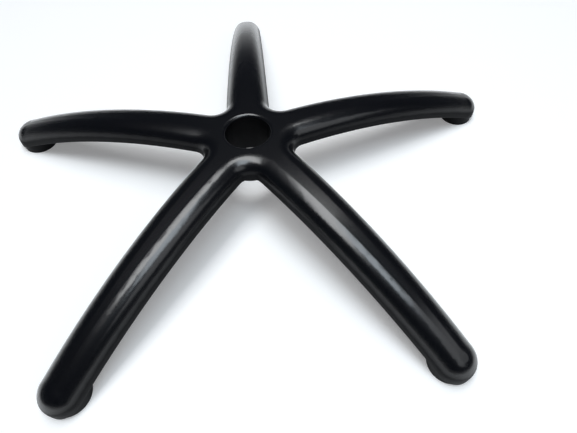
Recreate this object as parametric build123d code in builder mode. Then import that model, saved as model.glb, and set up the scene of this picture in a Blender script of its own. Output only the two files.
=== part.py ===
"""Five-armed base of a swivel chair, moulded in one piece.

Five arched arms run from a hub to a boss at each tip. The outside is one smooth skin,
and the underside is an open shell stiffened with ribs. The hub takes the gas lift in a
bore from above, and each boss takes the stem of a caster from below.

Millimetres, +Z up. The origin is on the axis of the hub, where the straight part of
its bore begins below the rim, and one arm points along +Y. Heights are given above the
floor that the bosses stand on, and up() turns a height into a Z of this frame.
"""

import os
from math import asin, atan2, cos, degrees, hypot, radians, sin, sqrt, tan

from build123d import *

# Star seen from above
arms = 5
first_arm = 90.0
arm_reach = 330.0
root_half_width = 27.5
tip_radius = 21.6
crotch_radius = 14.5

# Arch of the arms seen from the side: level around the hub, then falling away in an arc
arch_start = 50.0
crown_height = 84.2
crown_tip_height = 23.9
skirt = 20.6  # depth of an arm beside the hub
edge_tip_height = 0.7

# Skin of the arms
wall = 4.5
tip_flat = 2.1  # half of the flat left along the top of a tip
side_land = 0.3  # least straight side between the rounding and the lip
lip_radius = 0.8

# Hub with the bore for the gas lift
lift_radius = 25.1
lift_land = 14.0
lift_taper = 1.5
rim_round = 4.2
barrel_wall = 5.9
barrel_height = 33.0

# Bosses for the casters
boss_inset = 0.5  # from the side of the arm's tip
boss_setback = 2.0  # from the end of the arm
boss_lap = 2.0  # how far the foot of a boss runs up into the skin
boss_ribs = 6
socket_radius = 5.5
socket_depth = 26.0
socket_wall = 4.5
socket_chamfer = 0.8

# Ribs of the underside
rib = 2.6
rib_recess = 1.6  # from the lower edge of the skin
lattice_start = 60.0
lattice_bays = 5
gusset_reach = 110.0

# Places worked out from the sizes above
tip_centre = arm_reach - tip_radius
edge_height = crown_height - skirt
shoulder_radius = min(tip_radius - tip_flat, skirt - lip_radius - side_land)
barrel_radius = lift_radius + barrel_wall
boss_radius = tip_radius - boss_inset
boss_centre = arm_reach - boss_setback - boss_radius
crotch_reach = (root_half_width + crotch_radius) / sin(radians(180 / arms)) - crotch_radius
lattice_end = boss_centre - boss_radius
land_height = crown_height - rim_round

# Heights and a distance that lie well clear of the base, where cuts and blanks may end
margin = 10.0
above = crown_height + margin
below = -2 * margin
beyond = arm_reach + margin


def up(height):
    """Z of a point that is this far above the floor."""
    return height - land_height


def arch(distance, height, tip_height, grow):
    """Height of an arc that falls from the hub to the tips, moved out by grow."""
    reach = arm_reach - arch_start
    drop = height - tip_height
    radius = (reach**2 + drop**2) / (2 * drop)
    run = max(distance - arch_start, 0.0)
    return height - radius + sqrt((radius + grow) ** 2 - run**2)


def crown(distance, inset=0.0):
    """Height of the arms' top line this far from the axis of the hub."""
    return arch(distance, crown_height, crown_tip_height, -inset)


def edge(distance, lift=0.0):
    """Height of the arms' lower edge this far from the axis of the hub."""
    return arch(distance, edge_height, edge_tip_height, lift)


def arc_of(line, size):
    """Arc of the arch in side view, from where it starts to beyond the tips."""
    middle = (arch_start + beyond) / 2
    points = [(x, up(line(x, size))) for x in (arch_start, middle, beyond)]
    return ThreePointArc(*points)


def star(inset):
    """Outline of the star: tapered arms with round ends, joined by round crotches."""
    root = root_half_width - inset
    tip = tip_radius - inset
    lean = asin((root - tip) / tip_centre)
    near = (root * sin(lean), root * cos(lean))
    far = (tip_centre + tip * sin(lean), tip * cos(lean))
    with BuildSketch() as arm:
        with BuildLine():
            Polyline((0, 0), near, far)
            ThreePointArc(far, (tip_centre + tip, 0), (far[0], -far[1]))
            Polyline((far[0], -far[1]), (near[0], -near[1]), (0, 0))
        make_face()
    with BuildSketch(Plane.XY.offset(up(0.0))) as outline:
        with PolarLocations(0, arms, start_angle=first_arm):
            add(arm.sketch)
        Circle(root)
        corners = outline.vertices().group_by(lambda v: round(hypot(v.X, v.Y)))[0]
        fillet(corners, crotch_radius + inset)
    return outline.sketch


def arched_star(inset=0.0):
    """The arched star with a rounded top, drawn in by inset on every side, down to the floor."""
    with BuildPart() as form:
        add(star(inset))
        extrude(amount=above)
        with BuildSketch(Plane.XZ):
            with BuildLine():
                top = arc_of(crown, inset)
                Line((0, up(crown_height - inset)), top @ 0)
                Polyline(top @ 1, (beyond, up(0)), (0, up(0)), (0, up(crown_height - inset)))
            make_face()
        revolve(axis=Axis.Z, mode=Mode.INTERSECT)
        sides = form.faces().filter_by(lambda f: abs(f.normal_at().Z) < 0.01)
        tops = form.faces().filter_by(lambda f: f.normal_at().Z > 0.5)
        fillet(sides.edges() & tops.edges(), shoulder_radius - inset)
    return form.part


def under_arch(lift=0.0):
    """All the space below the arms' lower edge, raised by lift."""
    with BuildPart() as space:
        with BuildSketch(Plane.XZ):
            with BuildLine():
                low = arc_of(edge, lift)
                Line((0, up(edge_height + lift)), low @ 0)
                Polyline(low @ 1, (beyond, up(below)), (0, up(below)), (0, up(edge_height + lift)))
            make_face()
        revolve(axis=Axis.Z)
    return space.part


# Ribs of one arm: a spine along it and pairs of ribs that cross on the spine
with BuildSketch() as arm_ribs:
    bay = (lattice_end - lattice_start) / lattice_bays
    across = 2 * root_half_width
    with Locations(((barrel_radius + lattice_end) / 2, 0)):
        Rectangle(lattice_end - barrel_radius + wall, rib)
    for i in range(lattice_bays):
        with Locations((lattice_start + bay * (i + 0.5), 0)):
            Rectangle(hypot(bay, across), rib, rotation=degrees(atan2(across, bay)))
            Rectangle(hypot(bay, across), rib, rotation=-degrees(atan2(across, bay)))

# Gusset: deepens the spine beside the hub, down to the foot of the barrel
with BuildPart() as gusset:
    with BuildSketch(Plane.XZ):
        with BuildLine():
            Polyline(
                (barrel_radius - wall / 2, up(barrel_height + rib_recess)),
                (gusset_reach, up(edge(gusset_reach) + rib_recess)),
                (gusset_reach, up(edge(gusset_reach) + wall)),
                (barrel_radius - wall / 2, up(edge_height + wall)),
                close=True,
            )
        make_face()
    extrude(amount=rib / 2, both=True)

# Lattice of the whole star, with a rib from the barrel into each crotch
with BuildPart() as lattice:
    with BuildSketch(Plane.XY.offset(up(0.0))):
        with PolarLocations(0, arms, start_angle=first_arm):
            add(arm_ribs.sketch)
        middle = (barrel_radius + crotch_reach) / 2
        with PolarLocations(middle, arms, start_angle=first_arm + 180 / arms):
            Rectangle(crotch_reach - barrel_radius, rib)
    extrude(amount=above)
    add(under_arch(lift=rib_recess), mode=Mode.SUBTRACT)
    with PolarLocations(0, arms, start_angle=first_arm):
        add(gusset.part)

# Bosses in section: a ring and a socket tube, joined by ribs
with BuildSketch(Plane.XY.offset(up(0.0))) as boss_section:
    with PolarLocations(boss_centre, arms, start_angle=first_arm):
        Circle(boss_radius)
    with PolarLocations(boss_centre, arms, start_angle=first_arm):
        Circle(boss_radius - wall, mode=Mode.SUBTRACT)
    with PolarLocations(boss_centre, arms, start_angle=first_arm):
        Circle(socket_radius + socket_wall)
        with PolarLocations(0, boss_ribs // 2):
            Rectangle(2 * boss_radius - wall, rib)

# Feet of the bosses: solid posts from the floor to just above the arms' lower edge
with BuildPart() as feet:
    with BuildSketch(Plane.XY.offset(up(0.0))):
        with PolarLocations(boss_centre, arms, start_angle=first_arm):
            Circle(boss_radius)
    extrude(amount=above)
    add(under_arch(lift=boss_lap), mode=Mode.INTERSECT)

# Core: what the mould leaves hollow under the skin, round the ribs, barrel and bosses
with BuildPart() as core:
    add(arched_star(inset=wall))
    add(lattice.part, mode=Mode.SUBTRACT)
    add(boss_section.sketch)
    extrude(amount=above, mode=Mode.SUBTRACT)
    with BuildSketch(Plane.XY.offset(up(barrel_height))):
        Circle(barrel_radius)
    extrude(amount=above, mode=Mode.SUBTRACT)

# The whole base, first as a solid star with a softened lip
with BuildPart() as chair_base:
    add(arched_star())
    add(under_arch(), mode=Mode.SUBTRACT)
    sides = chair_base.faces().filter_by(lambda f: abs(f.normal_at().Z) < 0.01)
    unders = chair_base.faces().filter_by(lambda f: f.normal_at().Z < -0.5)
    fillet(sides.edges() & unders.edges(), lip_radius)

    # Barrel, gussets and feet below the arms, and the core taken out of it all
    with BuildSketch(Plane.XY.offset(up(barrel_height))):
        Circle(barrel_radius)
    extrude(amount=crown_height - wall / 2 - barrel_height)
    with PolarLocations(0, arms, start_angle=first_arm):
        add(gusset.part)
    add(feet.part)
    add(core.part, mode=Mode.SUBTRACT)

    # Bore of the gas lift: straight below the rim, then tapered down to the barrel's foot
    with BuildSketch(Plane.XZ):
        with BuildLine():
            foot_z = up(barrel_height) - rib
            foot_radius = lift_radius + (foot_z + lift_land) * tan(radians(lift_taper))
            Polyline(
                (0, rim_round + rib),
                (lift_radius, rim_round + rib),
                (lift_radius, -lift_land),
                (foot_radius, foot_z),
                (0, foot_z),
                close=True,
            )
        make_face()
    revolve(axis=Axis.Z, mode=Mode.SUBTRACT)
    rings = chair_base.edges().filter_by(GeomType.CIRCLE)
    rings = rings.filter_by(lambda e: abs(e.radius - lift_radius) < 0.01)
    fillet(rings.sort_by(Axis.Z)[-1], rim_round)

    # Sockets of the casters
    with BuildSketch(Plane.XY.offset(up(0.0))):
        with PolarLocations(boss_centre, arms, start_angle=first_arm):
            Circle(socket_radius)
    extrude(amount=socket_depth, mode=Mode.SUBTRACT)
    rings = chair_base.edges().filter_by(GeomType.CIRCLE)
    mouths = rings.filter_by(lambda e: abs(e.radius - socket_radius) < 0.01)
    chamfer(mouths.group_by(Axis.Z)[0], socket_chamfer)

os.makedirs("parts", exist_ok=True)
chair_base.part.label = "chair_base"
export_step(chair_base.part, "parts/chair_base.step")
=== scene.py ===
"""Looks of a five-armed swivel-chair base, moulded in one piece from black nylon."""

from math import radians

import bpy
from mathutils import Matrix, Vector


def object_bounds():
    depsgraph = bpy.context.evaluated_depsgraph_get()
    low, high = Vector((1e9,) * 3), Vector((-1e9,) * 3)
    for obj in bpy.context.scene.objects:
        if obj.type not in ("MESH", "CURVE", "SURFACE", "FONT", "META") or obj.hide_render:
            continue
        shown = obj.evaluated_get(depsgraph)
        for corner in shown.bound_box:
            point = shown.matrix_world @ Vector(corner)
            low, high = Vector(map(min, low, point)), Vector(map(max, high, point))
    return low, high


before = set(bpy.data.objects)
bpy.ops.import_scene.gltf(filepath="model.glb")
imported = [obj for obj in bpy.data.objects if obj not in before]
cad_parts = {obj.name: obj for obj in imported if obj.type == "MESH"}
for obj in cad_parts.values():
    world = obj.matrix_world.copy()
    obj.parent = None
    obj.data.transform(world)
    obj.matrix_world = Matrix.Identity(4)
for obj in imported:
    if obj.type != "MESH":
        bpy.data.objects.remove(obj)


def corners(box):
    """A box's lowest and highest corner as plain lists of numbers."""
    return [[float(value) for value in corner] for corner in box]


cad_box = corners(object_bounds())
scene = bpy.context.scene
scene.view_settings.view_transform = "Standard"


# Camera
# It stands in front of the base and looks down on it, as in the photograph. Its place and
# angles come from fitting a star of this shape to the outline in the picture.
floor_level = cad_box[0][2]
camera_place = Vector((0.0230, -0.3636, floor_level + 0.4236))
camera_heading = radians(-3.252)
camera_pitch = radians(35.427)
camera_roll = radians(-1.509)
camera_lens = 26.90
camera_nearest = 0.01

camera = bpy.data.objects.new("camera", bpy.data.cameras.new("camera"))
scene.collection.objects.link(camera)
scene.camera = camera
camera.data.lens = camera_lens
camera.data.clip_start = camera_nearest
camera.matrix_world = (
    Matrix.Translation(camera_place)
    @ Matrix.Rotation(camera_heading, 4, "Z")
    @ Matrix.Rotation(camera_pitch, 4, "X")
    @ Matrix.Rotation(camera_roll, 4, "Z")
)


# Chair base
# One moulding of black glass-filled nylon. The polished half of the mould gives the outside
# its gloss. The core half leaves the sides and the ribbed underside duller, without gloss.
# The faces that point straight down are also painted a little greyer: painted fill light,
# so that the ribs show from below.
nylon_black = (0.0018, 0.0021, 0.0032, 1)
# A greyer black painted on the faces that point down, as painted fill light
painted_fill_grey = (0.024, 0.025, 0.027, 1)
nylon_specular = 0.12
outside_roughness = 0.36
core_roughness = 0.55
gloss_roughness = 0.21
gloss_ior = 1.6

# How far up a face looks, from 1 for straight up to -1 for straight down
dull_from, dull_to = 0.62, 0.28
# Between these, the painted fill light greys the faces that point down
painted_fill_from, painted_fill_to = -0.3, -0.8

# Marks of the flowing plastic and fine grain, as they change the roughness
flow_roughness = 0.06
grain_roughness = 0.03

# Relief in metres, and the shares that slow waves and fine grain take of it
relief = 0.00006
wave_relief = 0.3
gloss_grain_relief = 0.04
dull_grain_relief = 0.30


class Value:
    """A shader socket that takes part in Python expressions."""

    def __init__(self, socket):
        self.socket = socket

    def node(self, kind, settings, inputs):
        """Adds a node beside this one, sets it up, fills its inputs and gives its output."""
        node = self.socket.id_data.nodes.new(kind)
        for name, setting in settings.items():
            setattr(node, name, setting)
        shown = [output for output in node.outputs if output.enabled]
        return Value(shown[0]).fill(inputs)

    def fill(self, inputs):
        """Gives inputs of this node, found by name or number, their values or links."""
        for place, value in inputs.items():
            slot = self.socket.node.inputs[place]
            if isinstance(value, Value):
                slot.id_data.links.new(value.socket, slot)
            else:
                slot.default_value = value
        return self

    def output(self, name):
        """Another output of this node."""
        return Value(self.socket.node.outputs[name])

    def math(self, operation, first, second):
        return self.node("ShaderNodeMath", {"operation": operation}, {0: first, 1: second})

    def __add__(self, other):
        return self.math("ADD", self, other)

    def __sub__(self, other):
        return self.math("SUBTRACT", self, other)

    def __mul__(self, other):
        return self.math("MULTIPLY", self, other)

    def __rsub__(self, other):
        return self.math("SUBTRACT", other, self)

    __radd__ = __add__
    __rmul__ = __mul__

    def ramp(self, start, end, interpolation="LINEAR"):
        """A value that goes from 0 to 1 as this one goes from start to end."""
        settings = {"interpolation_type": interpolation}
        inputs = {"Value": self, "From Min": start, "From Max": end}
        return self.node("ShaderNodeMapRange", settings, inputs)

    def blend(self, first, second):
        """A colour that goes from first to second as this value goes from 0 to 1."""
        inputs = {"Factor": self, "A": first, "B": second}
        return self.node("ShaderNodeMix", {"data_type": "RGBA"}, inputs)

    def noise(self, scale, detail, roughness):
        """Noise between 0 and 1 at the place that this value gives."""
        inputs = {"Vector": self, "Scale": scale, "Detail": detail, "Roughness": roughness}
        return self.node("ShaderNodeTexNoise", {}, inputs)


def new_material(name):
    """A material, and its shader's output to start expressions from."""
    material = bpy.data.materials.new(name)
    material.use_nodes = True
    return material, Value(material.node_tree.nodes["Principled BSDF"].outputs["BSDF"])


nylon, nylon_shader = new_material("black_nylon")
surface = nylon_shader.node("ShaderNodeTexCoord", {}, {})
place = surface.output("Object")
facing = nylon_shader.node("ShaderNodeSeparateXYZ", {}, {"Vector": surface.output("Normal")})
upward = facing.output("Z")
dull = upward.ramp(dull_from, dull_to)
# Painted fill light: the faces that point down get a greyer base colour
painted_fill = upward.ramp(painted_fill_from, painted_fill_to)

noise_middle = 0.5
flow = place.noise(scale=14.0, detail=3.0, roughness=0.55) - noise_middle
grain = place.noise(scale=900.0, detail=2.0, roughness=0.5) - noise_middle
waves = place.noise(scale=45.0, detail=1.0, roughness=0.4)

marks = outside_roughness + flow * flow_roughness + grain * grain_roughness
height = waves * wave_relief + grain * (gloss_grain_relief + dull * dull_grain_relief)
bump_inputs = {"Strength": 1.0, "Distance": relief, "Height": height}
nylon_shader.fill(
    {
        # The greyer base colour on faces that point down is painted fill light
        "Base Color": painted_fill.blend(nylon_black, painted_fill_grey),
        "Roughness": marks + dull * (core_roughness - outside_roughness),
        "Specular IOR Level": nylon_specular,
        "Coat Weight": 1 - dull,
        "Coat Roughness": gloss_roughness,
        "Coat IOR": gloss_ior,
        "Normal": nylon_shader.node("ShaderNodeBump", {}, bump_inputs),
    }
)

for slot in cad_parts["chair_base"].material_slots:
    slot.material = nylon


# Floor
# A sheet of plain white paper under the base, which takes its shadow. Its lift brings the
# lit paper to white in the picture and in reflections. From below the paper is clear, so
# that the ribs show.
floor_size = 12.0
floor_white = (0.90, 0.90, 0.90, 1)
floor_roughness = 0.9
floor_specular = 0.2
floor_lift = 0.24

bpy.ops.mesh.primitive_plane_add(size=floor_size, location=(0, 0, floor_level))
floor = bpy.context.object
floor.name = "floor"
paper, paper_shader = new_material("paper")
ray = paper_shader.node("ShaderNodeLightPath", {}, {})
seen = ray.output("Is Camera Ray") + ray.output("Is Glossy Ray")
seen = seen + ray.output("Is Transmission Ray")
paper_shader.fill(
    {
        "Base Color": floor_white,
        "Roughness": floor_roughness,
        "Specular IOR Level": floor_specular,
        "Emission Color": seen * floor_lift,
        "Emission Strength": 1.0,
    }
)
below = paper_shader.node("ShaderNodeNewGeometry", {}, {}).output("Backfacing")
clear = paper_shader.node("ShaderNodeBsdfTransparent", {}, {})
sheet = paper_shader.node("ShaderNodeMixShader", {}, {0: below, 1: paper_shader, 2: clear})
paper_output = paper.node_tree.nodes["Material Output"].inputs["Surface"]
paper.node_tree.links.new(sheet.socket, paper_output)
floor.data.materials.append(paper)


# Lamps
# Three soft boxes hang level over the base, two close together above it and a wide dim one
# off to the front right. They were placed by their reflections in the arms. The studio
# round them is dark, with grey walls.
lamp_height = 2.5
watts_per_radiance = 4.0  # for each square metre of a lamp
soft_boxes = {
    "key": {
        "centre": (-0.098, 0.085),  # shares of lamp_height, as the sizes are
        "size": (0.36, 0.97),
        "turn": radians(-37.8),
        "radiance": 4.7,
        "tint": (0.98, 1.00, 1.01),
    },
    "side": {
        "centre": (0.153, -0.193),
        "size": (0.60, 0.45),
        "turn": radians(-59.5),
        "radiance": 3.7,
        "tint": (0.90, 1.00, 1.08),
    },
    "fill": {
        "centre": (0.90, -0.75),
        "size": (1.00, 1.00),
        "turn": radians(1.1),
        "radiance": 0.72,
        "tint": (0.97, 1.00, 1.03),
    },
}
ceiling = (0.018, 0.021, 0.030, 1)
wall = (0.38, 0.39, 0.40, 1)
wall_end, ceiling_start = 0.03, 0.24  # how far up a ray looks, from 0 for level to 1

for name, box in soft_boxes.items():
    lamp = bpy.data.lights.new(name, "AREA")
    lamp.shape = "RECTANGLE"
    lamp.color = box["tint"]
    lamp.size, lamp.size_y = (share * lamp_height for share in box["size"])
    lamp.energy = box["radiance"] * watts_per_radiance * lamp.size * lamp.size_y
    hung = bpy.data.objects.new(name, lamp)
    scene.collection.objects.link(hung)
    hung.location = (*(share * lamp_height for share in box["centre"]), lamp_height)
    hung.rotation_euler = (0, 0, box["turn"])
    hung.visible_camera = False

studio = bpy.data.worlds.new("studio")
scene.world = studio
studio.use_nodes = True
background = Value(studio.node_tree.nodes["Background"].outputs["Background"])
outward = background.node("ShaderNodeTexCoord", {}, {}).output("Generated")
rising = background.node("ShaderNodeSeparateXYZ", {}, {"Vector": outward}).output("Z")
overhead = rising.ramp(wall_end, ceiling_start, "SMOOTHSTEP")
background.fill({"Color": overhead.blend(wall, ceiling)})
